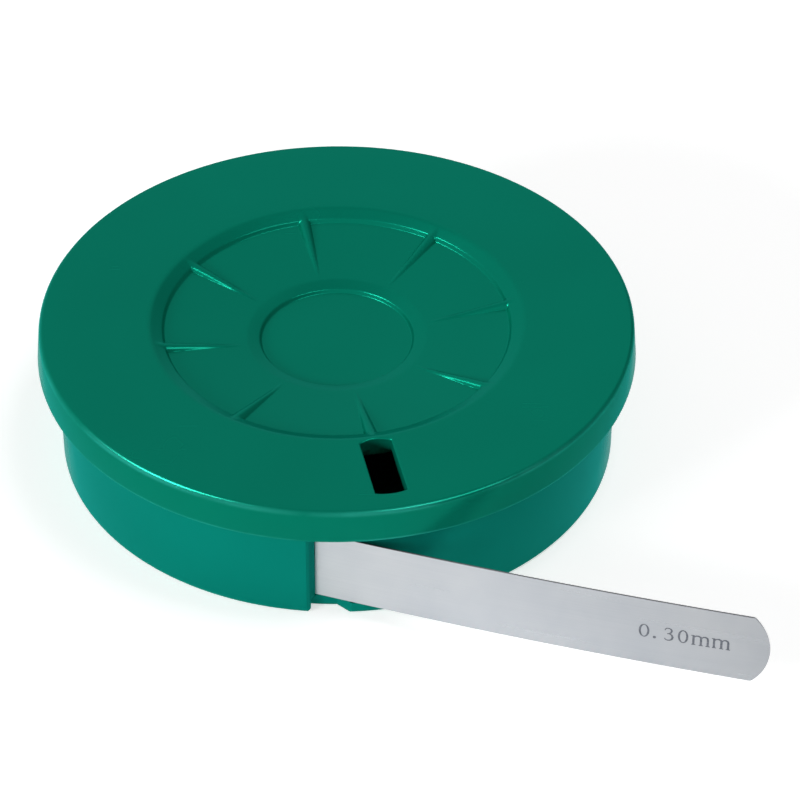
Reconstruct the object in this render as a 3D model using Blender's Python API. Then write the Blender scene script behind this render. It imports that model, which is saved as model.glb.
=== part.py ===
"""Shim stock roll: a coil of spring-steel strip in a round two-part plastic case.

The case stands on z = 0 with its axis on +Z, and the strip leaves it on the -Y side.
Sizes are in millimetres and become metres where a mesh is made.
"""
import bpy
import bmesh
import math

MM = 0.001
SEGMENTS = 96
SHARP_ANGLE = math.radians(28)

# Case as a whole.
CASE_RADIUS = 50.0
CASE_HEIGHT = 24.0

# Base: a moulded dish with a wall that leans out slightly.
SKIRT_OVERHANG = 3.55
BASE_DRAFT = 0.30
BASE_WALL = 2.15
FLOOR_THICKNESS = 2.05
BASE_EDGE_ROUND = 0.5
RIM_ROUND = 0.4
FLOOR_CORNER_ROUND = 0.3

# Lid: a shell whose skirt hangs outside the base wall and holds on with a bead.
LID_PLATE = 2.15
LID_DRAFT = 0.45
LID_EDGE_ROUND = 0.8
SKIRT_HEIGHT = 5.9
SKIRT_WALL = 2.0
SKIRT_EDGE_ROUND = 0.35
BEAD_FLAT = 0.6

# Dish and hub: two round hollows pressed into the lid, one inside the other.
DISH_RADIUS = 31.3
DISH_LIP = 2.2
DISH_LIP_DROP = 1.05
DISH_LIP_ROUND = 1.6
DISH_FALL = 1.5
HUB_RADIUS = 15.0
HUB_LIP = 2.1
HUB_LIP_DROP = 0.55
HUB_LIP_ROUND = 1.2
STEP_DEPTH = 0.6

# Ribs: half-round ridges that start in the dish's sloping lip and sink away towards the hub.
RIB_COUNT = 8
RIB_TURN_DEG = 10.8
RIB_START = 1.3
RIB_END = 2.3
RIB_ROUND = 1.0
RIB_ROOT = 0.5

# Window: a slot in line with the front rib, with bowed ends.
WINDOW_WIDTH = 5.15
WINDOW_FROM_DISH = 0.45
WINDOW_FROM_SKIRT = 2.55
WINDOW_INNER_BOW = 0.8
WINDOW_OUTER_BOW = 0.45

# Strip: its section, the coil and the end that is pulled out.
STRIP_WIDTH = 13.0
STRIP_THICKNESS = 0.30
STRIP_LENGTH = 5000.0
TAIL_LENGTH = 86.7
TAIL_RADIUS = 865.0
TAIL_START_DEG = -110.5
TAIL_LEAN = 0.45
TIP_DEPTH = 2.7
TIP_CORNER = 0.5
COIL_BANDS = 6
COIL_BAND_STEP = 0.12
COIL_SIDE_SET = 0.1
COIL_TUCK = 0.14
COIL_TUCK_LENGTH = 9.0

# Mouth in the base wall, laid out from the point where the strip meets the wall.
MOUTH_LEFT = 0.55
MOUTH_RIGHT = 3.65
MOUTH_LEAN = 2.4
MOUTH_OUTER_ROUND = 0.8
MOUTH_INNER_ROUND = 0.9

# Clearances between pieces.
BEAD_GAP = 0.30
SEAT_GAP = 0.30
FLOOR_GAP = 0.35
COIL_GAP = 1.35
MOUTH_GAP = 0.35
CUT_MARGIN = 2.0
FACE_MARGIN = 0.05

# Sizes that follow from those above.
BASE_RADIUS = CASE_RADIUS - SKIRT_OVERHANG
BASE_TOP_RADIUS = BASE_RADIUS + BASE_DRAFT
BASE_INNER = BASE_RADIUS - BASE_WALL
PLATE_UNDER = CASE_HEIGHT - LID_PLATE
RIM_TOP = PLATE_UNDER - SEAT_GAP
STRIP_LOW = FLOOR_THICKNESS + FLOOR_GAP
STRIP_MIDDLE = STRIP_LOW + STRIP_WIDTH / 2
COIL_OUTER = BASE_INNER - COIL_GAP
COIL_LAST_TURN = COIL_OUTER - STRIP_THICKNESS / 2
COIL_INNER = math.sqrt(COIL_OUTER ** 2 - STRIP_LENGTH * STRIP_THICKNESS / math.pi)
SKIRT_INNER = CASE_RADIUS - SKIRT_WALL
SKIRT_LOW = CASE_HEIGHT - SKIRT_HEIGHT
DISH_LIP_INNER = DISH_RADIUS - DISH_LIP
DISH_LIP_LOW = CASE_HEIGHT - DISH_LIP_DROP
DISH_OUTER = DISH_LIP_INNER - STEP_DEPTH
DISH_HIGH = DISH_LIP_LOW - STEP_DEPTH
DISH_SLOPE = DISH_FALL / (DISH_OUTER - HUB_RADIUS)


def clear_scene():
    for item in list(bpy.data.objects):
        bpy.data.objects.remove(item, do_unlink=True)


def case_plastic(name):
    """Satin green moulded plastic."""
    material = bpy.data.materials.new(name)
    material.use_nodes = True
    shader = material.node_tree.nodes["Principled BSDF"]
    shader.inputs["Base Color"].default_value = (0.0, 0.155, 0.110, 1.0)
    shader.inputs["Roughness"].default_value = 0.42
    shader.inputs["Metallic"].default_value = 0.0
    return material


def strip_steel():
    """Bright cold-rolled spring steel."""
    material = bpy.data.materials.new("strip_steel")
    material.use_nodes = True
    shader = material.node_tree.nodes["Principled BSDF"]
    shader.inputs["Base Color"].default_value = (0.56, 0.57, 0.58, 1.0)
    shader.inputs["Roughness"].default_value = 0.30
    shader.inputs["Metallic"].default_value = 1.0
    return material


def vertex(bm, x, y, z):
    return bm.verts.new((x * MM, y * MM, z * MM))


def polar(radius, angle):
    return (radius * math.cos(angle), radius * math.sin(angle))


def finished_object(bm, name, material=None):
    """Turn a bmesh into a named object, shaded smooth with its sharp edges kept."""
    bmesh.ops.recalc_face_normals(bm, faces=bm.faces)
    mesh = bpy.data.meshes.new(name)
    bm.to_mesh(mesh)
    bm.free()
    mesh.shade_smooth()
    mesh.set_sharp_from_angle(angle=SHARP_ANGLE)
    item = bpy.data.objects.new(name, mesh)
    bpy.context.scene.collection.objects.link(item)
    if material is not None:
        mesh.materials.append(material)
    return item


def lathe(name, outline, material, turn=0.0):
    """Turn a closed (radius, height) outline about the Z axis; turn places the first facet edge."""
    bm = bmesh.new()
    rings = []
    for radius, height in outline:
        if radius == 0.0:
            rings.append([vertex(bm, 0.0, 0.0, height)])
            continue
        ring = []
        for i in range(SEGMENTS):
            x, y = polar(radius, turn + 2 * math.pi * i / SEGMENTS)
            ring.append(vertex(bm, x, y, height))
        rings.append(ring)
    for ring, other in zip(rings, rings[1:] + rings[:1]):
        if len(ring) == 1 and len(other) == 1:
            continue
        for i in range(SEGMENTS):
            near, far = i, (i + 1) % SEGMENTS
            corners = [ring[near % len(ring)], ring[far % len(ring)]]
            corners += [other[far % len(other)], other[near % len(other)]]
            bm.faces.new(list(dict.fromkeys(corners)))
    return finished_object(bm, name, material)


def cutter(name, outline, low, high):
    """Plan outline extruded between two heights."""
    bm = bmesh.new()
    bottom = [vertex(bm, x, y, low) for x, y in outline]
    face = bm.faces.new(bottom)
    grown = bmesh.ops.extrude_face_region(bm, geom=[face])["geom"]
    moved = [item for item in grown if isinstance(item, bmesh.types.BMVert)]
    bmesh.ops.translate(bm, vec=(0.0, 0.0, (high - low) * MM), verts=moved)
    return finished_object(bm, name)


def boolean(target, tool, operation):
    """Join or cut with a tool that stays in the file, hidden."""
    modifier = target.modifiers.new(tool.name, "BOOLEAN")
    modifier.operation = operation
    modifier.object = tool
    modifier.solver = "EXACT"
    tool.hide_render = True
    tool.display_type = "WIRE"


def arc(centre, radius, start, end, steps):
    """Points of an arc between two angles, both ends included."""
    points = []
    for i in range(steps + 1):
        x, y = polar(radius, start + (end - start) * i / steps)
        points.append((centre[0] + x, centre[1] + y))
    return points


def fillet(corner, before, after, radius, steps):
    """Arc that rounds the corner between two straight runs."""
    back = math.atan2(before[1] - corner[1], before[0] - corner[0])
    ahead = math.atan2(after[1] - corner[1], after[0] - corner[0])
    opening = (ahead - back + math.pi) % (2 * math.pi) - math.pi
    half = abs(opening) / 2
    middle = back + opening / 2
    x, y = polar(radius / math.sin(half), middle)
    centre = (corner[0] + x, corner[1] + y)
    start = back - math.copysign(math.pi / 2, opening)
    end = start + opening - math.copysign(math.pi, opening)
    return arc(centre, radius, start, end, steps)


def on_front(radius, x):
    """Point of a circle about the case's axis, on its -Y side, at a given x."""
    return (x, -math.sqrt(radius ** 2 - x ** 2))


def strip_point(distance, offset):
    """Plan point of the strip past the coil; offset is outward from its middle line.

    A negative distance is still on the coil's last turn, and tucks under its surface.
    """
    start = math.radians(TAIL_START_DEG)
    if distance < 0:
        tuck = COIL_TUCK * min(1.0, -distance / COIL_TUCK_LENGTH)
        return polar(COIL_LAST_TURN - tuck + offset, start + distance / COIL_LAST_TURN)
    x, y = polar(COIL_LAST_TURN - TAIL_RADIUS, start)
    along = polar(TAIL_RADIUS + offset, start + distance / TAIL_RADIUS)
    return (x + along[0], y + along[1])


def strip_distance(radius):
    """Distance along the strip at which it crosses a circle about the case's axis."""
    shift = COIL_LAST_TURN - TAIL_RADIUS
    cosine = (radius ** 2 - TAIL_RADIUS ** 2 - shift ** 2) / (2 * shift * TAIL_RADIUS)
    return TAIL_RADIUS * math.acos(cosine)


def base_dish():
    """Floor and wall of the base, turned in one."""
    corners = [
        (0.0, 0.0),
        (BASE_RADIUS, 0.0),
        (BASE_TOP_RADIUS, RIM_TOP),
        (BASE_INNER, RIM_TOP),
        (BASE_INNER, FLOOR_THICKNESS),
        (0.0, FLOOR_THICKNESS),
    ]
    outline = corners[:1]
    outline += fillet(corners[1], corners[0], corners[2], BASE_EDGE_ROUND, 3)
    outline += fillet(corners[2], corners[1], corners[3], RIM_ROUND, 2)
    outline += fillet(corners[3], corners[2], corners[4], RIM_ROUND, 2)
    outline += fillet(corners[4], corners[3], corners[5], FLOOR_CORNER_ROUND, 2)
    outline += corners[5:]
    return lathe("case_base", outline, case_plastic("case_green"))


def wall_slot(left, right, inside, outside):
    """Cutter for the mouth over the wall's whole height, the floor's edge included."""
    outer_centre = on_front(BASE_RADIUS - MOUTH_OUTER_ROUND, left - MOUTH_OUTER_ROUND)
    outline = [on_front(inside, left)]
    outline += arc(outer_centre, MOUTH_OUTER_ROUND, 0.0, math.radians(-80), 5)
    outline.append((outline[-1][0] - CUT_MARGIN / 2, -outside))
    inner_corner = on_front(inside, right)
    outer_corner = on_front(BASE_RADIUS, right + MOUTH_LEAN)
    reach = (outside + outer_corner[1]) / (inner_corner[1] - outer_corner[1])
    outline.append((outer_corner[0] + MOUTH_LEAN * reach, -outside))
    outline.append(inner_corner)
    steps = 5
    for i in range(1, steps):
        outline.append(on_front(inside, right + (left - right) * i / steps))
    return cutter("cut_wall_slot", outline, -CUT_MARGIN, CASE_HEIGHT)


def wall_easing(left, inside, outside):
    """Cutter that eases both wall ends above the floor, where the strip runs past them.

    The left end gets a rounded inner edge and the right end follows the strip.
    """
    centre = on_front(BASE_INNER + MOUTH_INNER_ROUND, left - MOUTH_INNER_ROUND)
    middle = left + MOUTH_LEFT
    outline = [on_front(inside - MOUTH_INNER_ROUND, centre[0] - MOUTH_INNER_ROUND)]
    outline += arc(centre, MOUTH_INNER_ROUND, math.radians(100), math.radians(15), 5)
    outline.append((middle, centre[1] - MOUTH_INNER_ROUND))
    outline.append((middle, -outside))
    first = strip_distance(BASE_INNER) - MOUTH_INNER_ROUND
    last = strip_distance(outside - CUT_MARGIN)
    behind = -(STRIP_THICKNESS / 2 + MOUTH_GAP)
    steps = 4
    line = [strip_point(first + (last - first) * i / steps, behind) for i in range(steps + 1)]
    outline.append((line[-1][0], -outside))
    outline += line[::-1]
    return cutter("cut_wall_easing", outline, FLOOR_THICKNESS + FACE_MARGIN, CASE_HEIGHT)


def case_base():
    crossing = strip_point(strip_distance(BASE_INNER), 0.0)
    left = crossing[0] - MOUTH_LEFT
    right = crossing[0] + MOUTH_RIGHT
    inside = BASE_INNER - FACE_MARGIN
    outside = CASE_RADIUS + CUT_MARGIN
    base = base_dish()
    boolean(base, wall_slot(left, right, inside, outside), "DIFFERENCE")
    boolean(base, wall_easing(left, inside, outside), "DIFFERENCE")


def coil_ring():
    """Wound part of the strip: a turned ring whose ends step up and down in bands of turns."""
    high = STRIP_LOW + STRIP_WIDTH - COIL_SIDE_SET
    outer = COIL_OUTER - COIL_TUCK / 2
    width = (outer - COIL_INNER) / COIL_BANDS
    top = []
    for band in range(COIL_BANDS):
        height = high - COIL_BAND_STEP * (band % 2)
        top.append((COIL_INNER + width * band, height))
        top.append((COIL_INNER + width * (band + 1), height))
    bottom = [(radius, 2 * STRIP_MIDDLE - height) for radius, height in reversed(top)]
    return lathe("steel_band", top + bottom, strip_steel())


def tail_columns():
    """Distance along the tail and half the strip's height there, tip included."""
    half = STRIP_WIDTH / 2
    tip_radius = (half ** 2 + TIP_DEPTH ** 2) / (2 * TIP_DEPTH)
    straight = TAIL_LENGTH - TIP_DEPTH
    tuck_steps, straight_steps, tip_steps = 4, 14, 12
    columns = []
    for i in range(tuck_steps):
        columns.append((COIL_TUCK_LENGTH * (i / tuck_steps - 1), half))
    for i in range(straight_steps):
        columns.append((straight * i / straight_steps, half))
    columns.append((straight - TIP_CORNER, half))
    columns.append((straight - TIP_CORNER / 4, half - TIP_CORNER / 8))
    spread = math.asin((half - TIP_CORNER / 2) / tip_radius)
    for i in range(tip_steps):
        angle = spread * (1 - i / tip_steps)
        columns.append((TAIL_LENGTH - tip_radius * (1 - math.cos(angle)), tip_radius * math.sin(angle)))
    return columns


def strip_tail():
    """Free end: leaves the last turn, leans out a little at its foot and ends in a shallow arc."""
    bm = bmesh.new()
    rows = []
    for distance, half in tail_columns():
        lean = TAIL_LEAN / STRIP_WIDTH * max(0.0, distance) / TAIL_LENGTH
        row = []
        for side, height in ((1, -half), (1, half), (-1, half), (-1, -half)):
            x, y = strip_point(distance, side * STRIP_THICKNESS / 2 - height * lean)
            row.append(vertex(bm, x, y, STRIP_MIDDLE + height))
        rows.append(row)
    bm.faces.new(rows[0])
    for row, following in zip(rows, rows[1:]):
        for i in range(4):
            j = (i + 1) % 4
            bm.faces.new((row[i], row[j], following[j], following[i]))
    tip = []
    for side in (1, -1):
        x, y = strip_point(TAIL_LENGTH, side * STRIP_THICKNESS / 2)
        tip.append(vertex(bm, x, y, STRIP_MIDDLE))
    last = rows[-1]
    bm.faces.new((last[0], last[1], tip[0]))
    bm.faces.new((last[2], last[3], tip[1]))
    bm.faces.new((last[1], last[2], tip[1], tip[0]))
    bm.faces.new((last[3], last[0], tip[0], tip[1]))
    return finished_object(bm, "join_tail")


def steel_band():
    boolean(coil_ring(), strip_tail(), "UNION")


def lid_shell():
    """Plate, skirt, dish and hub of the lid, turned in one with an even wall.

    Its facets are turned so that every rib stands on the middle of one.
    """
    hub_lip_inner = HUB_RADIUS - HUB_LIP
    hub_high = DISH_HIGH - DISH_FALL
    hub_lip_low = hub_high - HUB_LIP_DROP
    hub_floor_radius = hub_lip_inner - STEP_DEPTH
    hub_floor = hub_lip_low - STEP_DEPTH
    aside = LID_PLATE / 4
    bead = BASE_TOP_RADIUS + BEAD_GAP
    slope = SKIRT_INNER - bead
    top = [
        (0.0, hub_floor),
        (hub_floor_radius, hub_floor),
        (hub_lip_inner, hub_lip_low),
        (HUB_RADIUS, hub_high),
        (DISH_OUTER, DISH_HIGH),
        (DISH_LIP_INNER, DISH_LIP_LOW),
        (DISH_RADIUS, CASE_HEIGHT),
        (CASE_RADIUS - LID_DRAFT, CASE_HEIGHT),
        (CASE_RADIUS, SKIRT_LOW),
        (SKIRT_INNER, SKIRT_LOW),
    ]
    outline = top[:3]
    outline += fillet(top[3], top[2], top[4], HUB_LIP_ROUND, 3)
    outline += top[4:6]
    outline += fillet(top[6], top[5], top[7], DISH_LIP_ROUND, 4)
    outline += fillet(top[7], top[6], top[8], LID_EDGE_ROUND, 4)
    outline += fillet(top[8], top[7], top[9], SKIRT_EDGE_ROUND, 2)
    outline += top[9:]
    outline += [
        (bead, SKIRT_LOW + slope),
        (bead, SKIRT_LOW + slope + BEAD_FLAT),
        (SKIRT_INNER, SKIRT_LOW + 2 * slope + BEAD_FLAT),
        (SKIRT_INNER, PLATE_UNDER),
        (DISH_RADIUS + aside, PLATE_UNDER),
        (DISH_LIP_INNER + aside, DISH_LIP_LOW - LID_PLATE),
        (DISH_OUTER + aside, DISH_HIGH - LID_PLATE),
        (HUB_RADIUS + aside, hub_high - LID_PLATE),
        (hub_lip_inner + aside, hub_lip_low - LID_PLATE),
        (hub_floor_radius + aside, hub_floor - LID_PLATE),
        (0.0, hub_floor - LID_PLATE),
    ]
    facet_turn = math.radians(RIB_TURN_DEG - 90) + math.pi / SEGMENTS
    return lathe("case_lid", outline, case_plastic("lid_green"), facet_turn)


def lid_ribs():
    """Half-round ridges, one every RIB_COUNT-th of a turn, which sink into the dish's slope."""
    outer = DISH_RADIUS - RIB_START
    inner = HUB_RADIUS + RIB_END
    outer_crest = CASE_HEIGHT - RIB_START * DISH_LIP_DROP / DISH_LIP
    inner_crest = DISH_HIGH + (inner - DISH_OUTER) * DISH_SLOPE
    slope = (outer_crest - inner_crest) / (outer - inner)
    steps = 8
    bm = bmesh.new()
    for number in range(RIB_COUNT):
        turn = math.radians(RIB_TURN_DEG - 90) + 2 * math.pi * number / RIB_COUNT
        sections = []
        for radius in (outer + RIB_ROOT, inner - RIB_ROOT):
            centre = (0.0, outer_crest + (radius - outer) * slope - RIB_ROUND)
            section = []
            for side, height in arc(centre, RIB_ROUND, 0.0, math.pi, steps):
                x = radius * math.cos(turn) - side * math.sin(turn)
                y = radius * math.sin(turn) + side * math.cos(turn)
                section.append(vertex(bm, x, y, height))
            bm.faces.new(section)
            sections.append(section)
        near, far = sections
        for i in range(len(near)):
            j = (i + 1) % len(near)
            bm.faces.new((near[i], near[j], far[j], far[i]))
    return finished_object(bm, "join_ribs")


def lid_window():
    """Slot cutter with bowed short ends, square to the radius it lies on."""
    turn = math.radians(RIB_TURN_DEG - 90)
    near = DISH_RADIUS + WINDOW_FROM_DISH
    far = SKIRT_INNER - WINDOW_FROM_SKIRT
    half = WINDOW_WIDTH / 2
    steps = 6
    outline = []
    for end, bow, direction in ((far, WINDOW_OUTER_BOW, 1), (near, -WINDOW_INNER_BOW, -1)):
        for i in range(steps + 1):
            share = 2 * i / steps - 1
            radius = end - bow * share ** 2
            side = half * share * direction
            x = radius * math.cos(turn) - side * math.sin(turn)
            y = radius * math.sin(turn) + side * math.cos(turn)
            outline.append((x, y))
    return cutter("cut_window", outline, DISH_HIGH - 2 * LID_PLATE, CASE_HEIGHT + CUT_MARGIN)


def case_lid():
    lid = lid_shell()
    boolean(lid, lid_ribs(), "UNION")
    boolean(lid, lid_window(), "DIFFERENCE")


clear_scene()
case_base()
steel_band()
case_lid()
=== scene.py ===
import bpy
import bmesh
import math
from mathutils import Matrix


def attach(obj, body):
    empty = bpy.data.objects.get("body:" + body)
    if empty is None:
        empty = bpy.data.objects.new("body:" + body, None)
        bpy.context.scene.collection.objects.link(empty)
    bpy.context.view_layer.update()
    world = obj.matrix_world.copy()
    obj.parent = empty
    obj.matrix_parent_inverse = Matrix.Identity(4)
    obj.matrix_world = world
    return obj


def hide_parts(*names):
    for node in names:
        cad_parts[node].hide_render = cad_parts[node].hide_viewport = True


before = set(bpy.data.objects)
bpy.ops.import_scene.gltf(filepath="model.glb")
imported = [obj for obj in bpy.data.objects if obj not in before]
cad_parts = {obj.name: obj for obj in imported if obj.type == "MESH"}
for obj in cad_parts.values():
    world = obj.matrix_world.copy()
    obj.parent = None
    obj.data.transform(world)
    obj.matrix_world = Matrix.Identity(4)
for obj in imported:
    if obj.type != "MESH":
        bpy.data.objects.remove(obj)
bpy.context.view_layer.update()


# Case base: one injection-moulded dish of satin green plastic, floor and wall in one piece, which
# stands on the bench. Its wall leans out a little so that it leaves the mould. The wall's left end
# at the mouth is oblique and its right end follows the strip, so that the strip slides out freely.

MM = 0.001
BASE_FOOT_RADIUS = 46.45
BASE_RIM_RADIUS = 46.75
BASE_BORE_RADIUS = 44.3
BASE_RIM_HEIGHT = 21.55
BASE_FLOOR = 2.05
BASE_COLUMNS = 288
FLOOR_INSET = 0.8
MOUTH_LEFT = -4.53
MOUTH_RIGHT = -0.33
MOUTH_OBLIQUE = 2.4
MOUTH_CORNER = 0.8
MOUTH_INSIDE = BASE_BORE_RADIUS - 0.05
LEFT_END_OBLIQUE = 0.95
FOOT_EASING = 0.45
BESIDE_STRIP = 0.30
BEHIND_STRIP = -0.5
CUT_FRONT = -52.0
CUT_TOP = 24.0
WELD = 0.003
SLIVER = 0.002
LAST_TURN_RADIUS = 42.8
LEAVES_AT = math.radians(-110.5)
PULLED_OUT_BEND = 865.0


def strip_line(distance, aside):
    """Plan point of the pulled-out strip, this far past the coil and this far outside its middle."""
    heading = LEAVES_AT + distance / PULLED_OUT_BEND
    centre = LAST_TURN_RADIUS - PULLED_OUT_BEND
    x = centre * math.cos(LEAVES_AT) + (PULLED_OUT_BEND + aside) * math.cos(heading)
    y = centre * math.sin(LEAVES_AT) + (PULLED_OUT_BEND + aside) * math.sin(heading)
    return (x, y)


def round_corner(before, corner, after, radius, steps):
    """The arc that eases a corner between two straight runs of a profile."""
    back = math.atan2(before[1] - corner[1], before[0] - corner[0])
    ahead = math.atan2(after[1] - corner[1], after[0] - corner[0])
    opening = (ahead - back + math.pi) % (2 * math.pi) - math.pi
    middle = back + opening / 2
    reach = radius / math.sin(abs(opening) / 2)
    centre = (corner[0] + reach * math.cos(middle), corner[1] + reach * math.sin(middle))
    first = back - math.copysign(math.pi / 2, opening)
    turn = -math.copysign(math.pi - abs(opening), opening)
    arc = []
    for i in range(steps + 1):
        angle = first + turn * i / steps
        arc.append((centre[0] + radius * math.cos(angle), centre[1] + radius * math.sin(angle)))
    return arc


def eased_profile(corners):
    """A closed profile from corners of (radius, height, easing radius, easing steps)."""
    points = []
    for i, (radius, height, easing, steps) in enumerate(corners):
        if easing == 0.0:
            points.append((radius, height))
            continue
        before = corners[i - 1][:2]
        after = corners[(i + 1) % len(corners)][:2]
        points += round_corner(before, (radius, height), after, easing, steps)
    return points


def turned_body(name, profile, angles, height_at=None):
    """Turn a closed profile about the case's axis, with a height for each point if one is given."""
    bm = bmesh.new()
    rings = []
    for radius, height in profile:
        ring = []
        for angle in angles if radius > 0.0 else angles[:1]:
            x, y = radius * math.cos(angle), radius * math.sin(angle)
            z = height_at(radius, angle, height) if height_at else height
            ring.append(bm.verts.new((x * MM, y * MM, z * MM)))
        rings.append(ring)
    count = len(angles)
    for ring, other in zip(rings, rings[1:] + rings[:1]):
        if len(ring) == 1 and len(other) == 1:
            continue
        for i in range(count):
            j = (i + 1) % count
            corners = [ring[i % len(ring)], ring[j % len(ring)]]
            corners += [other[j % len(other)], other[i % len(other)]]
            bm.faces.new(list(dict.fromkeys(corners)))
    return finished_piece(name, bm)


def finished_piece(name, bm):
    """Turn a mesh's faces outwards and make it a piece of the scene."""
    bmesh.ops.recalc_face_normals(bm, faces=bm.faces)
    mesh = bpy.data.meshes.new(name)
    bm.to_mesh(mesh)
    bm.free()
    piece = bpy.data.objects.new(name, mesh)
    bpy.context.scene.collection.objects.link(piece)
    return piece


def stacked_cutter(name, layers):
    """A solid lofted through plan outlines of equal length, each with its own height."""
    bm = bmesh.new()
    rings = []
    for outline, height in layers:
        rings.append([bm.verts.new((x * MM, y * MM, height * MM)) for x, y in outline])
    bm.faces.new(rings[0])
    bm.faces.new(rings[-1])
    for ring, other in zip(rings, rings[1:]):
        for i in range(len(ring)):
            j = (i + 1) % len(ring)
            bm.faces.new((ring[i], ring[j], other[j], other[i]))
    return finished_piece(name, bm)


def cut_away(piece, cutter):
    """Take the cutter's shape out of the piece, and throw the cutter away."""
    cut = piece.modifiers.new("cut", "BOOLEAN")
    cut.operation = "DIFFERENCE"
    cut.solver = "EXACT"
    cut.object = cutter
    evaluated = piece.evaluated_get(bpy.context.evaluated_depsgraph_get())
    mesh = bpy.data.meshes.new_from_object(evaluated)
    piece.modifiers.clear()
    bm = bmesh.new()
    bm.from_mesh(mesh)
    bmesh.ops.remove_doubles(bm, verts=bm.verts, dist=WELD * MM)
    bmesh.ops.dissolve_degenerate(bm, edges=bm.edges, dist=SLIVER * MM)
    bm.to_mesh(mesh)
    bm.free()
    piece.data = mesh
    bpy.data.objects.remove(cutter)


def shade_eased(piece, degrees):
    """Shade the eased edges smooth and keep every edge that turns by more than this sharp."""
    piece.data.shade_smooth()
    piece.data.set_sharp_from_angle(angle=math.radians(degrees))


base_corners = [
    (0.0, 0.0, 0.0, 0),
    (BASE_BORE_RADIUS - FLOOR_INSET, 0.0, 0.0, 0),
    (BASE_FOOT_RADIUS, 0.0, 0.5, 6),
    (BASE_RIM_RADIUS, BASE_RIM_HEIGHT, 0.4, 5),
    (BASE_BORE_RADIUS, BASE_RIM_HEIGHT, 0.4, 5),
    (BASE_BORE_RADIUS, BASE_FLOOR, 0.3, 4),
    (BASE_BORE_RADIUS - FLOOR_INSET, BASE_FLOOR, 0.0, 0),
    (0.0, BASE_FLOOR, 0.0, 0),
]
base_angles = [2 * math.pi * i / BASE_COLUMNS for i in range(BASE_COLUMNS)]
base = turned_body("base_moulding", eased_profile(base_corners), base_angles)


def front_point(radius, x):
    """Plan point on the front of a circle about the case's axis, at this x."""
    return (x, -math.sqrt(radius ** 2 - x ** 2))


def mouth_outline(corner_easing, oblique):
    """Plan of the mouth; the easing pushes its left side out, which rounds the wall's foot there."""
    steps = 8
    left = MOUTH_LEFT - corner_easing
    points = [front_point(MOUTH_INSIDE, left + oblique)]
    centre = front_point(BASE_FOOT_RADIUS - MOUTH_CORNER, left - MOUTH_CORNER)
    for i in range(steps + 1):
        angle = math.radians(-80.0 * i / steps)
        x = centre[0] + MOUTH_CORNER * math.cos(angle)
        points.append((x, centre[1] + MOUTH_CORNER * math.sin(angle)))
    points.append((points[-1][0] - 1.0, CUT_FRONT))
    inner = front_point(MOUTH_INSIDE, MOUTH_RIGHT)
    outer = front_point(BASE_FOOT_RADIUS, MOUTH_RIGHT + MOUTH_OBLIQUE)
    reach = (outer[1] - CUT_FRONT) / (inner[1] - outer[1])
    points.append((outer[0] + MOUTH_OBLIQUE * reach, CUT_FRONT))
    points.append(inner)
    for i in range(1, steps):
        x = MOUTH_RIGHT + (left + oblique - MOUTH_RIGHT) * i / steps
        points.append(front_point(MOUTH_INSIDE, x))
    return points


above_floor = BASE_FLOOR + 0.05
mouth_layers = [(mouth_outline(FOOT_EASING + 0.3, 0.0), -1.0)]
for i in range(6):
    drop = math.radians(90.0 * i / 5)
    outline = mouth_outline(FOOT_EASING * (1 - math.sin(drop)), 0.0)
    mouth_layers.append((outline, FOOT_EASING * (1 - math.cos(drop))))
mouth_layers.append((mouth_outline(0.0, 0.0), BASE_FLOOR - 0.1))
mouth_layers.append((mouth_outline(0.0, LEFT_END_OBLIQUE), above_floor))
mouth_layers.append((mouth_outline(0.0, LEFT_END_OBLIQUE), CUT_TOP))
cut_away(base, stacked_cutter("mouth_cutter", mouth_layers))

# The strip's way out above the floor, cut along the strip's own bend on both of its sides.
channel_outline = [strip_line(4.0 + 8.2 * i / 6, BESIDE_STRIP) for i in range(7)]
channel_outline.append((channel_outline[-1][0], CUT_FRONT))
channel_outline.append((strip_line(28.0, BEHIND_STRIP)[0], CUT_FRONT))
for i in range(7):
    channel_outline.append(strip_line(28.0 - 17.2 * i / 6, BEHIND_STRIP))
channel_layers = [(channel_outline, above_floor), (channel_outline, CUT_TOP)]
cut_away(base, stacked_cutter("channel_cutter", channel_layers))
shade_eased(base, 30)


WORN_GREEN = (0.02, 0.34, 0.26, 1.0)
DULLNESS = 0.24
RUB_DULLS = 0.02
WEAR_POLISHES = -0.10
RIPPLE_SHARE = 0.6


def shader_of(material):
    """Switch a new material's nodes on, and give its shader."""
    material.use_nodes = True
    return material.node_tree.nodes["Principled BSDF"]


def put(tree, kind, settings, **fixed):
    """Add a node, set its properties, and set or join its inputs."""
    node = tree.nodes.new(kind)
    for key, value in fixed.items():
        setattr(node, key, value)
    for key, value in settings.items():
        if isinstance(value, bpy.types.NodeSocket):
            tree.links.new(value, node.inputs[key])
        else:
            node.inputs[key].default_value = value
    return node


def add_sockets(tree, direction, sockets):
    """Give a node group its inputs or its outputs."""
    for name, kind in sockets:
        tree.interface.new_socket(name=name, in_out=direction, socket_type=kind)


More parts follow.
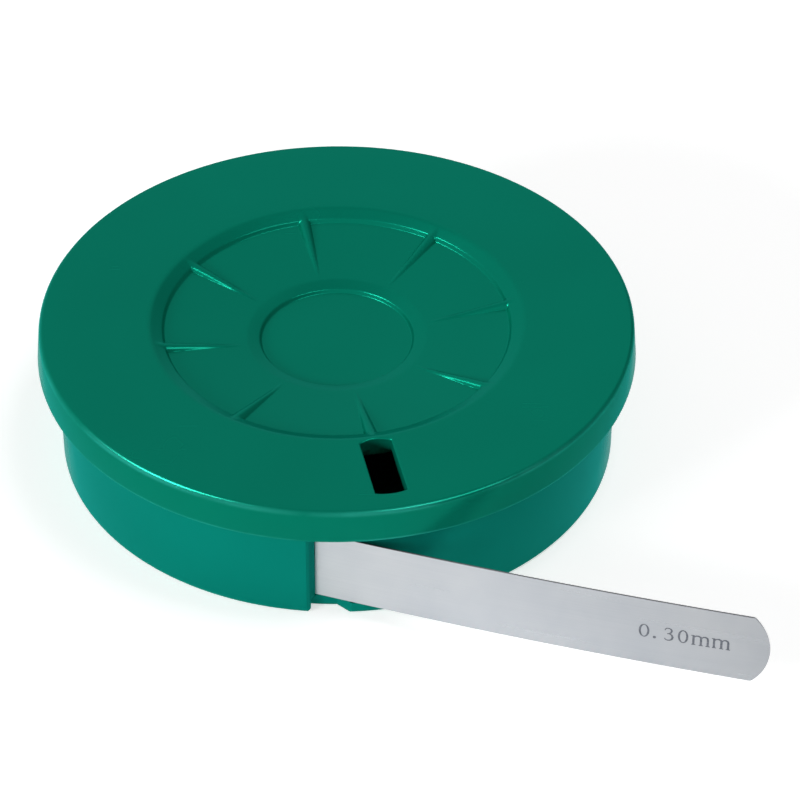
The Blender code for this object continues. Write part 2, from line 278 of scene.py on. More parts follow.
def moulded_skin_group():
    """Surface of a satin moulding: fine spark-eroded grain, uneven gloss, rubs and a paler worn edge."""
    tree = bpy.data.node_groups.new("moulded_skin", "ShaderNodeTree")
    add_sockets(tree, "INPUT", [
        ("Place", "NodeSocketVector"),
        ("Plastic", "NodeSocketColor"),
        ("Worn plastic", "NodeSocketColor"),
        ("Worn edge", "NodeSocketFloat"),
        ("Dullness", "NodeSocketFloat"),
    ])
    add_sockets(tree, "OUTPUT", [
        ("Colour", "NodeSocketColor"),
        ("Roughness", "NodeSocketFloat"),
        ("Height", "NodeSocketFloat"),
    ])
    given = tree.nodes.new("NodeGroupInput")
    result = tree.nodes.new("NodeGroupOutput")
    place = given.outputs["Place"]
    grain = put(tree, "ShaderNodeTexNoise", {"Vector": place, "Scale": 2600.0, "Detail": 2.0})
    ripple = put(tree, "ShaderNodeTexNoise", {"Vector": place, "Scale": 160.0, "Detail": 1.0})
    patches = put(tree, "ShaderNodeTexNoise", {"Vector": place, "Scale": 55.0, "Detail": 3.0})
    flow = put(tree, "ShaderNodeTexNoise", {
        "Vector": place, "Scale": 24.0, "Detail": 2.0, "Distortion": 0.6})

    squeezed = put(tree, "ShaderNodeMapping", {
        "Vector": place, "Rotation": (0.0, 0.0, 0.6), "Scale": (35.0, 1500.0, 35.0)})
    rubs = put(tree, "ShaderNodeTexNoise", {
        "Vector": squeezed.outputs[0], "Scale": 1.0, "Detail": 2.0})
    rub = put(tree, "ShaderNodeMapRange", {
        "Value": rubs.outputs["Fac"], "From Min": 0.62, "From Max": 0.80})

    broken = put(tree, "ShaderNodeMapRange", {
        "Value": patches.outputs["Fac"], "From Min": 0.35, "From Max": 0.62})
    worn = put(tree, "ShaderNodeMath", {
        0: given.outputs["Worn edge"], 1: broken.outputs[0]}, operation="MULTIPLY")
    shade = put(tree, "ShaderNodeMapRange", {
        "Value": flow.outputs["Fac"], "From Min": 0.3, "From Max": 0.7, "To Min": 0.97, "To Max": 1.03})
    tinted = put(tree, "ShaderNodeVectorMath", {
        0: given.outputs["Plastic"], "Scale": shade.outputs[0]}, operation="SCALE")
    colour = put(tree, "ShaderNodeMix", {
        "Factor": worn.outputs[0], "A": tinted.outputs[0], "B": given.outputs["Worn plastic"],
    }, data_type="RGBA")

    uneven = put(tree, "ShaderNodeMapRange", {
        "Value": patches.outputs["Fac"], "From Min": 0.3, "From Max": 0.7,
        "To Min": -0.035, "To Max": 0.035})
    dull = put(tree, "ShaderNodeMath", {
        0: given.outputs["Dullness"], 1: uneven.outputs[0]}, operation="ADD")
    scuffed = put(tree, "ShaderNodeMath", {
        0: rub.outputs[0], 1: RUB_DULLS, 2: dull.outputs[0]}, operation="MULTIPLY_ADD")
    polished = put(tree, "ShaderNodeMath", {
        0: worn.outputs[0], 1: WEAR_POLISHES, 2: scuffed.outputs[0]}, operation="MULTIPLY_ADD")

    relief = put(tree, "ShaderNodeMath", {
        0: ripple.outputs["Fac"], 1: RIPPLE_SHARE, 2: grain.outputs["Fac"]}, operation="MULTIPLY_ADD")
    tree.links.new(colour.outputs["Result"], result.inputs["Colour"])
    tree.links.new(polished.outputs[0], result.inputs["Roughness"])
    tree.links.new(relief.outputs[0], result.inputs["Height"])
    return tree


moulded_skin = moulded_skin_group()


def band_mask(tree, value, centre, half_width):
    """1 where a value is at the centre, falling softly to 0 at half a width away from it."""
    away = put(tree, "ShaderNodeMath", {0: value, 1: centre}, operation="SUBTRACT")
    size = put(tree, "ShaderNodeMath", {0: away.outputs[0]}, operation="ABSOLUTE")
    soft = put(tree, "ShaderNodeMapRange", {
        "Value": size.outputs[0], "From Min": half_width, "From Max": 0.0,
    }, interpolation_type="SMOOTHSTEP")
    return soft.outputs[0]


def moulded_plastic(name, green, rings):
    """Green plastic whose edges are worn on rings, each given as (radius, height, half width) in mm.

    The dye drinks up red so well that the gloss is green too, which a little Metallic gives.
    """
    material = bpy.data.materials.new(name)
    shader = shader_of(material)
    tree = material.node_tree
    place = put(tree, "ShaderNodeTexCoord", {}).outputs["Object"]
    split = put(tree, "ShaderNodeSeparateXYZ", {"Vector": place})
    flat = put(tree, "ShaderNodeCombineXYZ", {"X": split.outputs["X"], "Y": split.outputs["Y"]})
    radius = put(tree, "ShaderNodeVectorMath", {0: flat.outputs[0]}, operation="LENGTH").outputs["Value"]
    worn = None
    for ring_radius, ring_height, half_width in rings:
        across = band_mask(tree, radius, ring_radius * MM, half_width * MM)
        along = band_mask(tree, split.outputs["Z"], ring_height * MM, half_width * MM)
        both = put(tree, "ShaderNodeMath", {0: across, 1: along}, operation="MULTIPLY").outputs[0]
        if worn is not None:
            both = put(tree, "ShaderNodeMath", {0: worn, 1: both}, operation="MAXIMUM").outputs[0]
        worn = both
    skin = put(tree, "ShaderNodeGroup", {}, node_tree=moulded_skin)
    tree.links.new(place, skin.inputs["Place"])
    tree.links.new(worn, skin.inputs["Worn edge"])
    skin.inputs["Plastic"].default_value = green
    skin.inputs["Worn plastic"].default_value = WORN_GREEN
    skin.inputs["Dullness"].default_value = DULLNESS
    bump = put(tree, "ShaderNodeBump", {
        "Height": skin.outputs["Height"], "Strength": 0.25, "Distance": 0.00002})
    tree.links.new(skin.outputs["Colour"], shader.inputs["Base Color"])
    tree.links.new(skin.outputs["Roughness"], shader.inputs["Roughness"])
    tree.links.new(bump.outputs[0], shader.inputs["Normal"])
    grazing = put(tree, "ShaderNodeLayerWeight", {}).outputs["Facing"]
    sheen = put(tree, "ShaderNodeMapRange", {
        "Value": grazing, "From Min": 0.80, "From Max": 1.0, "To Min": 0.04, "To Max": 0.18})
    tree.links.new(sheen.outputs[0], shader.inputs["Coat Weight"])
    shader.inputs["Coat Roughness"].default_value = 0.2
    shader.inputs["Metallic"].default_value = 0.4
    shader.inputs["Specular IOR Level"].default_value = 0.0
    shader.inputs["Specular Tint"].default_value = (0.0, 1.0, 1.0, 1.0)
    return material


base_edges = [(46.3, 0.1, 0.7), (46.75, 21.55, 0.6), (44.3, 21.55, 0.6)]
# Painted light: the base's green is painted lighter and bluer than the lid's, though both are the same
# plastic, to stand for light falling on the base's wall.
base.data.materials.append(moulded_plastic("base_plastic_painted_lighter", (0.0, 0.21, 0.160, 1.0), base_edges))
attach(base, "base")
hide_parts("case_base")


# Steel strip: about five metres of bright cold-rolled spring steel, 13 mm wide, 0.30 mm thick.
# It lies loose in the base as a coil of turns. Its free end is drawn out through the mouth and
# was sheared to a shallow arc, so its long edges and its end have a raw sheared face.

STRIP_HALF_WIDTH = 6.5
STRIP_HALF_THICKNESS = 0.15
STRIP_MIDDLE = 8.9
COIL_TURNS = 19.3
TURN_PITCH = 0.305
FREE_LENGTH = 86.7
TIP_DEPTH = 2.7
TIP_BEND = (STRIP_HALF_WIDTH ** 2 + TIP_DEPTH ** 2) / (2 * TIP_DEPTH)
TIP_CORNER = 0.16
FOOT_LEAN = 0.45
EDGE_EASING = 0.05
COLUMNS_PER_TURN = 132
FREE_COLUMNS = 60
TIP_COLUMNS = 30
SHEARED_SHADE_FROM = 6.42
SHEARED_SHADE_WHOLLY = 6.47
TIP_SHADE_FROM = 40
LINES_OVER_HAZE = 0.5
SHEARED_IS_ROUGHER = 0.25
SPECKS_IN_RELIEF = 0.3


def coil_column(turns_back):
    """Middle point, outward direction and distance of the strip this many turns before it leaves."""
    angle = LEAVES_AT - 2 * math.pi * turns_back
    radius = LAST_TURN_RADIUS - TURN_PITCH * turns_back
    outward = (math.cos(angle), math.sin(angle))
    distance = -2 * math.pi * (LAST_TURN_RADIUS * turns_back - TURN_PITCH * turns_back ** 2 / 2)
    return (radius * outward[0], radius * outward[1]), outward, distance


def free_column(distance):
    """The same three for the strip this far past the coil."""
    heading = LEAVES_AT + distance / PULLED_OUT_BEND
    return strip_line(distance, 0.0), (math.cos(heading), math.sin(heading)), distance


def strip_columns():
    """Every cross-section of the strip, from the innermost turn out to the tip.

    Each is a point, outward direction, distance, half height, upward shift and share of the lean.
    """
    columns = []
    for i in range(int(COIL_TURNS * COLUMNS_PER_TURN), 0, -1):
        back = i / COLUMNS_PER_TURN
        uneven = 0.05 * math.sin(2.3 * back) + 0.035 * math.sin(7.1 * back + 1.0)
        columns.append((*coil_column(back), STRIP_HALF_WIDTH, uneven * min(1.0, back), 0.0))
    straight = FREE_LENGTH - TIP_DEPTH
    for i in range(FREE_COLUMNS):
        distance = (straight - 0.3) * i / FREE_COLUMNS
        columns.append((*free_column(distance), STRIP_HALF_WIDTH, 0.0, distance / FREE_LENGTH))
    lean = straight / FREE_LENGTH
    columns.append((*free_column(straight - 0.3), STRIP_HALF_WIDTH, 0.0, lean))
    columns.append((*free_column(straight - 0.05), STRIP_HALF_WIDTH - 0.05, 0.0, lean))
    spread = math.asin((STRIP_HALF_WIDTH - TIP_CORNER) / TIP_BEND)
    for i in range(TIP_COLUMNS):
        angle = spread * (1 - i / (TIP_COLUMNS - 0.5))
        distance = FREE_LENGTH - TIP_BEND * (1 - math.cos(angle))
        half = TIP_BEND * math.sin(angle)
        columns.append((*free_column(distance), half, 0.0, distance / FREE_LENGTH))
    return columns


def wound_strip():
    """The whole strip as one band, with its length and height kept as the place on its surface."""
    bm = bmesh.new()
    run = bm.loops.layers.uv.new("strip_run")
    side = STRIP_HALF_THICKNESS
    eased = side - EDGE_EASING
    rows = []
    for point, outward, distance, half, shift, lean in strip_columns():
        shoulder = max(half - EDGE_EASING, half * 0.4)
        section = [(side, -shoulder), (side, shoulder), (eased, half), (-eased, half),
                   (-side, shoulder), (-side, -shoulder), (-eased, -half), (eased, -half)]
        row = []
        for out, up in section:
            out -= up / STRIP_HALF_WIDTH * lean * FOOT_LEAN / 2
            x = point[0] + outward[0] * out
            y = point[1] + outward[1] * out
            row.append(bm.verts.new((x * MM, y * MM, (STRIP_MIDDLE + shift + up) * MM)))
        rows.append((row, distance, section))
    bm.faces.new(rows[0][0])
    bm.faces.new(rows[-1][0])
    for (row, distance, section), (following, next_distance, next_section) in zip(rows, rows[1:]):
        for i in range(len(section)):
            j = (i + 1) % len(section)
            face = bm.faces.new((row[i], row[j], following[j], following[i]))
            marks = ((distance, section[i][1]), (distance, section[j][1]),
                     (next_distance, next_section[j][1]), (next_distance, next_section[i][1]))
            for loop, (along, up) in zip(face.loops, marks):
                loop[run].uv = (along * MM, up * MM)
    return finished_piece("steel_strip", bm)


def rolled_steel():
    """Bright steel with rolling lines along its length and slow haze across it; painted shade darkens its
    face toward the tip and its rougher sheared edges.
    """
    material = bpy.data.materials.new("rolled_spring_steel")
    shader = shader_of(material)
    tree = material.node_tree
    run = put(tree, "ShaderNodeUVMap", {}, uv_map="strip_run").outputs["UV"]
    place = put(tree, "ShaderNodeTexCoord", {}).outputs["Object"]
    long_lines = put(tree, "ShaderNodeMapping", {"Vector": run, "Scale": (25.0, 9000.0, 1.0)})
    lines = put(tree, "ShaderNodeTexNoise", {"Vector": long_lines.outputs[0], "Scale": 1.0, "Detail": 3.0})
    broad = put(tree, "ShaderNodeMapping", {"Vector": run, "Scale": (14.0, 700.0, 1.0)})
    bands = put(tree, "ShaderNodeTexNoise", {"Vector": broad.outputs[0], "Scale": 1.0, "Detail": 2.0})
    haze = put(tree, "ShaderNodeTexNoise", {"Vector": place, "Scale": 75.0, "Detail": 3.0})
    specks = put(tree, "ShaderNodeTexNoise", {"Vector": place, "Scale": 1400.0, "Detail": 1.0})

    height = put(tree, "ShaderNodeSeparateXYZ", {"Vector": run}).outputs["Y"]
    from_middle = put(tree, "ShaderNodeMath", {0: height}, operation="ABSOLUTE").outputs[0]
    sheared = put(tree, "ShaderNodeMapRange", {
        "Value": from_middle, "From Min": SHEARED_SHADE_FROM * MM, "From Max": SHEARED_SHADE_WHOLLY * MM}).outputs[0]

    tone = put(tree, "ShaderNodeMath", {
        0: lines.outputs["Fac"], 1: LINES_OVER_HAZE, 2: haze.outputs["Fac"]}, operation="MULTIPLY_ADD")
    mixed = put(tree, "ShaderNodeMapRange", {
        "Value": tone.outputs[0], "From Min": 0.45, "From Max": 1.05})
    face = put(tree, "ShaderNodeMix", {
        "Factor": mixed.outputs[0], "A": (0.455, 0.482, 0.52, 1.0), "B": (0.55, 0.568, 0.59, 1.0),
    }, data_type="RGBA")
    # Painted shade: the steel's face is painted darker toward the tip, standing for the darker reflection
    # there.
    length = put(tree, "ShaderNodeSeparateXYZ", {"Vector": run}).outputs["X"]
    painted_tip_shade = put(tree, "ShaderNodeMapRange", {
        "Value": length, "From Min": TIP_SHADE_FROM * MM, "From Max": FREE_LENGTH * MM,
        "To Min": 1.0, "To Max": 0.78})
    dimmed = put(tree, "ShaderNodeVectorMath", {
        0: face.outputs["Result"], "Scale": painted_tip_shade.outputs[0]}, operation="SCALE")
    # Painted shade: the long edges are painted dark grey, standing for the shade along them; only their
    # rougher raw sheared face is real.
    metal = put(tree, "ShaderNodeMix", {
        "Factor": sheared, "A": dimmed.outputs[0], "B": (0.13, 0.135, 0.145, 1.0)}, data_type="RGBA")

    gloss = put(tree, "ShaderNodeMapRange", {
        "Value": bands.outputs["Fac"], "From Min": 0.3, "From Max": 0.7, "To Min": 0.26, "To Max": 0.36})
    rough = put(tree, "ShaderNodeMath", {
        0: sheared, 1: SHEARED_IS_ROUGHER, 2: gloss.outputs[0]}, operation="MULTIPLY_ADD")
    relief = put(tree, "ShaderNodeMath", {
        0: specks.outputs["Fac"], 1: SPECKS_IN_RELIEF, 2: lines.outputs["Fac"]}, operation="MULTIPLY_ADD")
    bump = put(tree, "ShaderNodeBump", {
        "Height": relief.outputs[0], "Strength": 0.12, "Distance": 0.00002})
    tree.links.new(metal.outputs["Result"], shader.inputs["Base Color"])
    tree.links.new(rough.outputs[0], shader.inputs["Roughness"])
    tree.links.new(bump.outputs[0], shader.inputs["Normal"])
    shader.inputs["Metallic"].default_value = 1.0
    return material


strip = wound_strip()
shade_eased(strip, 35)
strip.data.materials.append(rolled_steel())
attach(strip, "base")
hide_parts("steel_band")


# Thickness mark: the strip's size, etched dark and shallow into its face near the free end.
# The etched metal is matt and grey. Its figures and letters have wide and thin strokes, as in
# print. It is part of the strip's own surface, and is built here as strokes just proud of it.

MARK_START = 65.65
MARK_BASELINE = 7.68
MARK_RISE = 0.02
MARK_PROUD = 0.006
MARK_LAYER = 0.0004
MARK_DEPTH = 0.03
FIGURE_HEIGHT = 2.65
NOUGHT_SIDE = 0.36
NOUGHT_TOP = 0.20
NOUGHT_STEPS = 28
BOLDER = 1.22


def ring_stroke(left, width, height):
    """A figure nought: an upright oval, wide at its sides and thin at its top and foot."""
    outer, inner = [], []
    x, y = left + width / 2, height / 2
    for i in range(NOUGHT_STEPS + 1):
        angle = 2 * math.pi * i / NOUGHT_STEPS
        outer.append((x + width / 2 * math.cos(angle), y + height / 2 * math.sin(angle)))
        inner.append((x + (width / 2 - NOUGHT_SIDE) * math.cos(angle),
                      y + (height / 2 - NOUGHT_TOP) * math.sin(angle)))
    return outer, inner


def pen_stroke(points):
    """A stroke through (x, y, width) points, as its two sides."""
    one_side, other_side = [], []
    for i, (x, y, width) in enumerate(points):
        before = points[max(i - 1, 0)]
        after = points[min(i + 1, len(points) - 1)]
        dx, dy = after[0] - before[0], after[1] - before[1]
        length = math.hypot(dx, dy)
        across = (-dy / length * width / 2, dx / length * width / 2)
        one_side.append((x + across[0], y + across[1]))
        other_side.append((x - across[0], y - across[1]))
    return one_side, other_side


def figure_three(left):
    """An upright three in two bows, each given as (x, y, width) points."""
    upper = [(0.10, 2.05, 0.14), (0.16, 2.32, 0.20), (0.38, 2.52, 0.20), (0.74, 2.56, 0.20),
             (1.08, 2.40, 0.28), (1.20, 2.08, 0.34), (1.10, 1.74, 0.30), (0.82, 1.50, 0.22),
             (0.48, 1.40, 0.16)]
    lower = [(0.50, 1.46, 0.14), (0.92, 1.42, 0.22), (1.24, 1.20, 0.32), (1.38, 0.80, 0.36),
             (1.24, 0.38, 0.32), (0.90, 0.12, 0.24), (0.50, 0.09, 0.20), (0.22, 0.22, 0.22),
             (0.08, 0.46, 0.18)]
    strokes = []
    for line in (upper, lower):
        strokes.append(pen_stroke([(left + x, y, width) for x, y, width in line]))
    return strokes


def letter_m(left, scale):
    """A small serifed m, two millimetres high."""
    lines = [
        [(0.0, 1.90, 0.12), (0.46, 1.90, 0.16)],
        [(0.40, 1.98, 0.30), (0.42, 0.0, 0.30)],
        [(0.10, 0.07, 0.14), (0.78, 0.07, 0.14)],
        [(0.45, 1.52, 0.14), (0.80, 1.86, 0.20), (1.20, 1.90, 0.24), (1.55, 1.72, 0.30),
         (1.62, 1.35, 0.30), (1.62, 0.0, 0.30)],
        [(1.28, 0.07, 0.14), (1.98, 0.07, 0.14)],
        [(1.66, 1.50, 0.14), (1.98, 1.84, 0.20), (2.32, 1.88, 0.24), (2.64, 1.70, 0.30),
         (2.72, 1.35, 0.30), (2.72, 0.0, 0.30)],
        [(2.38, 0.07, 0.14), (3.08, 0.07, 0.14)],
    ]
    strokes = []
    for line in lines:
        strokes.append(pen_stroke([(left + x * scale, y, width * BOLDER) for x, y, width in line]))
    return strokes


def on_strip(bm, x, y, out):
    """A corner of the mark, this far along and up from its start and out from the strip's middle."""
    height = MARK_BASELINE + MARK_RISE * x + y
    distance = MARK_START + x
    lean = (height - STRIP_MIDDLE) / STRIP_HALF_WIDTH * distance / FREE_LENGTH * FOOT_LEAN / 2
    px, py = strip_line(distance, out - lean)
    return bm.verts.new((px * MM, py * MM, height * MM))


def size_mark():
    """The mark's strokes, each a thin solid that reaches into the strip; the rings close on themselves."""
    rings = [ring_stroke(0.0, 1.73, FIGURE_HEIGHT), ring_stroke(6.30, 1.70, FIGURE_HEIGHT)]
    point = [(2.58, 0.02, 0.24), (2.58, 0.10, 0.46), (2.58, 0.27, 0.54), (2.58, 0.44, 0.46),
             (2.58, 0.52, 0.24)]
    strokes = rings + [pen_stroke(point)] + figure_three(4.12)
    strokes += letter_m(8.42, 1.0) + letter_m(11.72, 0.98)
    bm = bmesh.new()
    for layer, (one_side, other_side) in enumerate(strokes):
        proud = STRIP_HALF_THICKNESS + MARK_PROUD + MARK_LAYER * layer
        sunk = proud - MARK_DEPTH
        rows = []
        for (x, y), (other_x, other_y) in zip(one_side, other_side):
            rows.append([on_strip(bm, x, y, proud), on_strip(bm, other_x, other_y, proud),
                         on_strip(bm, other_x, other_y, sunk), on_strip(bm, x, y, sunk)])
        for row, following in zip(rows, rows[1:]):
            for i in range(4):
                j = (i + 1) % 4
                bm.faces.new((row[i], row[j], following[j], following[i]))
        if layer >= len(rings):
            bm.faces.new(rows[0])
            bm.faces.new(rows[-1])
    bmesh.ops.remove_doubles(bm, verts=bm.verts, dist=1e-8)
    return finished_piece("size_mark", bm)


def etched_steel():
    """Matt grey metal, etched a little unevenly."""
    material = bpy.data.materials.new("etched_steel")
    shader = shader_of(material)
    tree = material.node_tree
    place = put(tree, "ShaderNodeTexCoord", {}).outputs["Object"]
    bite = put(tree, "ShaderNodeTexNoise", {"Vector": place, "Scale": 2400.0, "Detail": 3.0})
    depth = put(tree, "ShaderNodeMapRange", {
        "Value": bite.outputs["Fac"], "From Min": 0.3, "From Max": 0.7})
    colour = put(tree, "ShaderNodeMix", {
        "Factor": depth.outputs[0], "A": (0.105, 0.115, 0.135, 1.0), "B": (0.23, 0.245, 0.28, 1.0),
    }, data_type="RGBA")
    rough = put(tree, "ShaderNodeMapRange", {
        "Value": bite.outputs["Fac"], "To Min": 0.55, "To Max": 0.8})
    bump = put(tree, "ShaderNodeBump", {
        "Height": bite.outputs["Fac"], "Strength": 0.3, "Distance": 0.00001})
    tree.links.new(colour.outputs["Result"], shader.inputs["Base Color"])
    tree.links.new(rough.outputs[0], shader.inputs["Roughness"])
    tree.links.new(bump.outputs[0], shader.inputs["Normal"])
    shader.inputs["Metallic"].default_value = 0.6
    return material


mark = size_mark()
mark.data.materials.append(etched_steel())
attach(mark, "base")


# Lid: a second moulding of the same plastic, a shallow cap that snaps over the base's rim.
# Its top is pressed down into a dish and, inside that, a hub recess. Eight tapering ribs stiffen
# the dish, and a slot in line with the front rib lets one see how much strip is left.

LID_RADIUS = 50.0
LID_TOP = 24.0
SKIRT_FOOT = 18.1
SKIRT_BORE = 48.0
BEAD_RADIUS = 47.05
PLATE = 2.15
TOP_SIDE = 19.0
RIBBED_FROM = 15.0
RIBBED_TO = 31.5
RIBBED_STEP = 0.45
PLAIN_STEP = 5.0
RIB_COUNT = 8
RIB_SPACING = 2 * math.pi / RIB_COUNT
RIB_SIDE_DEG = 3.6
RIB_COLUMNS = 52
PLAIN_COLUMNS = 18
RIB_RUN_ON = 0.1
RIB_OUTER = 30.0
RIB_INNER = 17.3
RIB_OUTER_CREST = 23.42
RIB_ROUND = 1.2
RIB_POINT_ROUND = 0.4
RIB_BLEND = 0.25
FRONT_RIB = math.radians(-79.2)
DISH_FLOOR_EDGE = (28.75, 22.38)
DISH_FLOOR_SLOPE = 1.5 / 13.5
WINDOW_NEAR = 31.75
WINDOW_FAR = 45.45
WINDOW_HALF_WIDTH = 2.575
WINDOW_NEAR_BOW = 0.8
WINDOW_FAR_BOW = 0.45
WINDOW_CORNER = 0.1
WINDOW_EASING = 0.3

lid_corners = [
    (0.0, 19.70, 0.0, 0),
    (12.55, 19.70, 0.25, 4),
    (12.9, 20.30, 0.35, 6),
    (15.0, 20.85, 5.0, 5),
    (28.75, 22.38, 0.25, 4),
    (29.15, 23.05, 0.35, 6),
    (31.3, 24.00, 2.6, 7),
    (49.55, 24.00, 0.8, 8),
    (LID_RADIUS, SKIRT_FOOT, 0.35, 4),
    (SKIRT_BORE, SKIRT_FOOT, 0.25, 3),
    (BEAD_RADIUS, SKIRT_FOOT + 0.95, 0.3, 3),
    (BEAD_RADIUS, SKIRT_FOOT + 1.55, 0.3, 3),
    (SKIRT_BORE, SKIRT_FOOT + 2.5, 0.0, 0),
    (SKIRT_BORE, LID_TOP - PLATE, 0.4, 3),
    (31.84, LID_TOP - PLATE, 0.0, 0),
    (31.70, 20.55, 0.25, 3),
    (29.04, 20.20, 0.0, 0),
    (15.54, 18.70, 0.0, 0),
    (13.44, 18.15, 0.0, 0),
    (12.84, 17.55, 0.0, 0),
    (0.0, 17.55, 0.0, 0),
]


def lid_profile():
    """The lid's profile with more points on the dish floor, where the ribs need them."""
    points = []
    eased = eased_profile(lid_corners)
    for (radius, height), (next_radius, next_height) in zip(eased, eased[1:]):
        points.append((radius, height))
        on_top = next_radius > radius and min(height, next_height) > TOP_SIDE
        step = RIBBED_STEP if RIBBED_FROM < radius < RIBBED_TO else PLAIN_STEP
        extra = int((next_radius - radius) / step) if on_top else 0
        for i in range(1, extra + 1):
            share = i / (extra + 1)
            between = radius + (next_radius - radius) * share
            points.append((between, height + (next_height - height) * share))
    points.append(eased[-1])
    return points


def rib_columns():
    """Angles round the lid, close together across each rib and wide apart between ribs."""
    angles = []
    across_rib = 2 * RIB_SIDE_DEG
    to_next = 360 / RIB_COUNT - across_rib
    for number in range(RIB_COUNT):
        middle = FRONT_RIB + number * RIB_SPACING
        for i in range(RIB_COLUMNS):
            angles.append(middle + math.radians(-RIB_SIDE_DEG + across_rib * i / RIB_COLUMNS))
        for i in range(PLAIN_COLUMNS):
            angles.append(middle + math.radians(RIB_SIDE_DEG + to_next * i / PLAIN_COLUMNS))
    return angles


def with_ribs(radius, angle, height):
    """Height of the lid at a point, raised where a half-round rib stands above the dish."""
    floor = DISH_FLOOR_EDGE[1] + (radius - DISH_FLOOR_EDGE[0]) * DISH_FLOOR_SLOPE
    inner_crest = DISH_FLOOR_EDGE[1] + (RIB_INNER - DISH_FLOOR_EDGE[0]) * DISH_FLOOR_SLOPE
    share = (radius - RIB_INNER) / (RIB_OUTER - RIB_INNER)
    turn = (angle - FRONT_RIB + RIB_SPACING / 2) % RIB_SPACING - RIB_SPACING / 2
    aside = radius * math.sin(turn)
    if height < floor - 0.5 or not -RIB_RUN_ON < share < 1 + RIB_RUN_ON:
        return height
    crest = inner_crest + (RIB_OUTER_CREST - inner_crest) * share
    rounding = RIB_POINT_ROUND + (RIB_ROUND - RIB_POINT_ROUND) * max(0.0, share)
    if abs(aside) >= rounding:
        return height
    rib = crest - rounding + math.sqrt(rounding ** 2 - aside ** 2)
    part = min(1.0, max(0.0, 0.5 + 0.5 * (rib - height) / RIB_BLEND))
    return height + (rib - height) * part + RIB_BLEND * part * (1.0 - part)


lid = turned_body("lid_moulding", lid_profile(), rib_columns(), with_ribs)


def window_outline(grow):
    """Plan of the window, grown by this much all round: a slot with bowed ends and eased corners."""
    near, far, half = WINDOW_NEAR - grow, WINDOW_FAR + grow, WINDOW_HALF_WIDTH + grow
    steps = 12
    points = []
    for end, bow, direction in ((far, WINDOW_FAR_BOW, 1), (near, -WINDOW_NEAR_BOW, -1)):
        for i in range(steps + 1):
            share = math.sin(math.radians(180.0 * i / steps - 90.0))
            aside = half * direction * share
            along = end - bow * share ** 2
            if i in (0, steps):
                along -= WINDOW_CORNER * direction
            points.append((along * math.cos(FRONT_RIB) - aside * math.sin(FRONT_RIB),
                           along * math.sin(FRONT_RIB) + aside * math.cos(FRONT_RIB)))
    return points


window_layers = [(window_outline(0.0), 17.0)]
for i in range(7):
    angle = math.radians(84.0 * i / 6)
    outline = window_outline(WINDOW_EASING * (1 - math.cos(angle)))
    window_layers.append((outline, LID_TOP - WINDOW_EASING + WINDOW_EASING * math.sin(angle)))
window_layers.append((window_outline(WINDOW_EASING + 3.0), LID_TOP + 0.1))
cut_away(lid, stacked_cutter("window_cutter", window_layers))
shade_eased(lid, 32)

lid_edges = [(49.7, 23.7, 0.8), (49.95, 18.2, 0.6)]
lid.data.materials.append(moulded_plastic("lid_plastic", (0.0, 0.185, 0.118, 1.0), lid_edges))
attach(lid, "lid")
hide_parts("case_lid")


# Bench and light: a plain white floor that shows white and keeps the case's soft shadow.
# One soft lamp hangs overhead and one stands at the front left. Two panels, left and right, are
# seen only in the gloss: they draw the bright lines along the ribs and the lid's edge.

CASE_MIDDLE = (0.0, 0.0, 0.01)

floor_mesh = bpy.data.meshes.new("floor")
floor_bm = bmesh.new()
floor_corners = [(-4.0, -4.0), (4.0, -4.0), (4.0, 4.0), (-4.0, 4.0)]
floor_bm.faces.new([floor_bm.verts.new((x, y, -0.0002)) for x, y in floor_corners])
floor_bm.to_mesh(floor_mesh)
floor_bm.free()
floor = bpy.data.objects.new("floor", floor_mesh)
bpy.context.scene.collection.objects.link(floor)

floor_paper = bpy.data.materials.new("floor_paper")
floor_shader = shader_of(floor_paper)
floor_shader.inputs["Base Color"].default_value = (0.80, 0.80, 0.80, 1.0)
floor_shader.inputs["Roughness"].default_value = 0.9
floor_shader.inputs["Specular IOR Level"].default_value = 0.0
floor_shader.inputs["Emission Color"].default_value = (1.0, 1.0, 1.0, 1.0)
floor_ray = put(floor_paper.node_tree, "ShaderNodeLightPath", {})
floor_glow = put(floor_paper.node_tree, "ShaderNodeMapRange", {
    "Value": floor_ray.outputs["Is Diffuse Ray"], "To Min": 0.60, "To Max": 0.14})
floor_paper.node_tree.links.new(floor_glow.outputs[0], floor_shader.inputs["Emission Strength"])
floor.data.materials.append(floor_paper)

room = bpy.data.worlds.new("room")
room.use_nodes = True
walls = room.node_tree
sky = walls.nodes["Background"]
sky.inputs["Color"].default_value = (1.0, 1.0, 1.0, 1.0)
ray = put(walls, "ShaderNodeLightPath", {})
heading = put(walls, "ShaderNodeTexCoord", {}).outputs["Generated"]
way = put(walls, "ShaderNodeSeparateXYZ", {"Vector": heading})
below_ceiling = put(walls, "ShaderNodeMapRange", {
    "Value": way.outputs["Z"], "From Min": 0.80, "From Max": 0.90, "To Min": 1.0, "To Max": 0.6,
}, interpolation_type="SMOOTHSTEP")
off_the_right = put(walls, "ShaderNodeMapRange", {
    "Value": way.outputs["X"], "From Min": 0.20, "From Max": 0.55, "To Min": 1.0, "To Max": 0.4,
}, interpolation_type="SMOOTHSTEP")
paper = put(walls, "ShaderNodeMath", {
    0: below_ceiling.outputs[0], 1: off_the_right.outputs[0]}, operation="MULTIPLY")
in_gloss = put(walls, "ShaderNodeMix", {
    "Factor": ray.outputs["Is Glossy Ray"], "A": 0.22, "B": paper.outputs[0]})
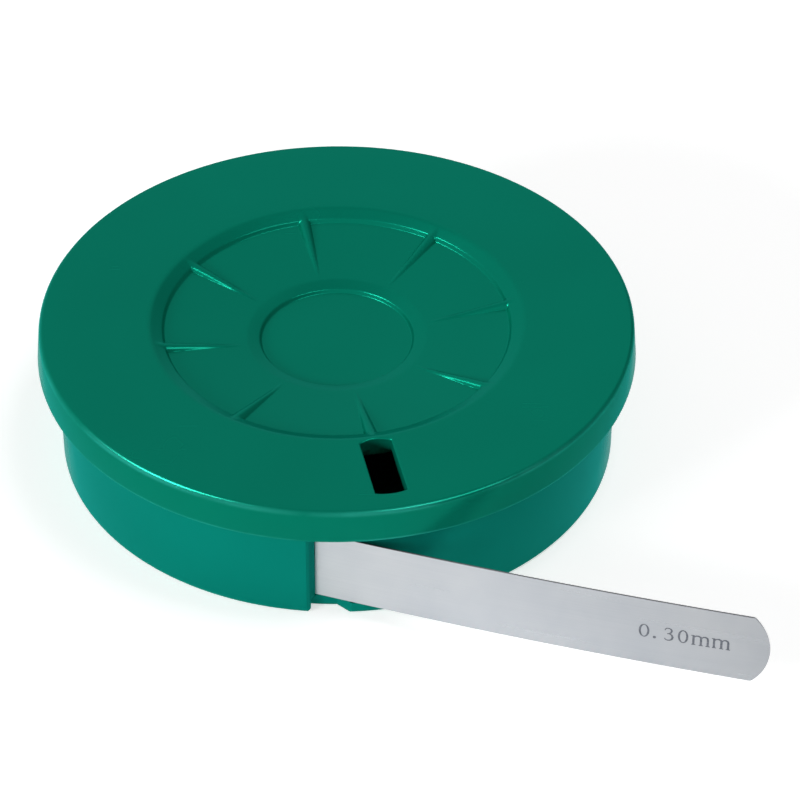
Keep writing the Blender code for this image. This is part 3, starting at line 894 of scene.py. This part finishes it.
in_view = put(walls, "ShaderNodeMath", {
    0: ray.outputs["Is Camera Ray"], 1: in_gloss.outputs[0]}, operation="MAXIMUM")
walls.links.new(in_view.outputs[0], sky.inputs["Strength"])
bpy.context.scene.world = room


def soft_lamp(name, place, width, depth, power):
    """A flat lamp of this size in metres, turned to face the case."""
    lamp = bpy.data.lights.new(name, "AREA")
    lamp.shape = "RECTANGLE"
    lamp.size = width
    lamp.size_y = depth
    lamp.energy = power
    stand = bpy.data.objects.new(name, lamp)
    stand.location = place
    aim = [CASE_MIDDLE[i] - place[i] for i in range(3)]
    yaw = math.atan2(aim[0], -aim[1])
    tilt = math.atan2(math.hypot(aim[0], aim[1]), -aim[2])
    stand.rotation_euler = (tilt, 0.0, yaw + math.pi)
    bpy.context.scene.collection.objects.link(stand)
    return stand


left_panel = soft_lamp("left_panel", (-0.65, -0.12, 0.86), 0.44, 0.44, 12.0)
right_panel = soft_lamp("right_panel", (0.46, -0.41, 0.90), 0.60, 0.35, 4.0)
overhead_lamp = soft_lamp("overhead_lamp", (0.36, -0.05, 1.05), 0.40, 0.40, 3.3)
front_lamp = soft_lamp("front_lamp", (-1.0, -0.75, 0.42), 0.5, 0.3, 11.0)
left_panel.visible_diffuse = False
right_panel.visible_diffuse = False
overhead_lamp.visible_glossy = False
front_lamp.visible_glossy = False

camera_data = bpy.data.cameras.new("camera")
camera_data.lens = 193.79
camera_data.sensor_width = 36.0
camera_data.clip_start = 0.01
camera_data.clip_end = 20.0
camera = bpy.data.objects.new("camera", camera_data)
bpy.context.scene.collection.objects.link(camera)
camera.rotation_mode = "QUATERNION"
yawed = Matrix.Rotation(math.radians(-1.075), 4, "Z")
pitched = Matrix.Rotation(math.radians(50.79), 4, "X")
rolled = Matrix.Rotation(math.radians(0.209), 4, "Z")
camera.rotation_quaternion = (yawed @ pitched @ rolled).to_quaternion()
camera.location = (0.0, -0.56417, 0.46685)
bpy.context.scene.camera = camera
bpy.context.scene.view_settings.view_transform = "Standard"
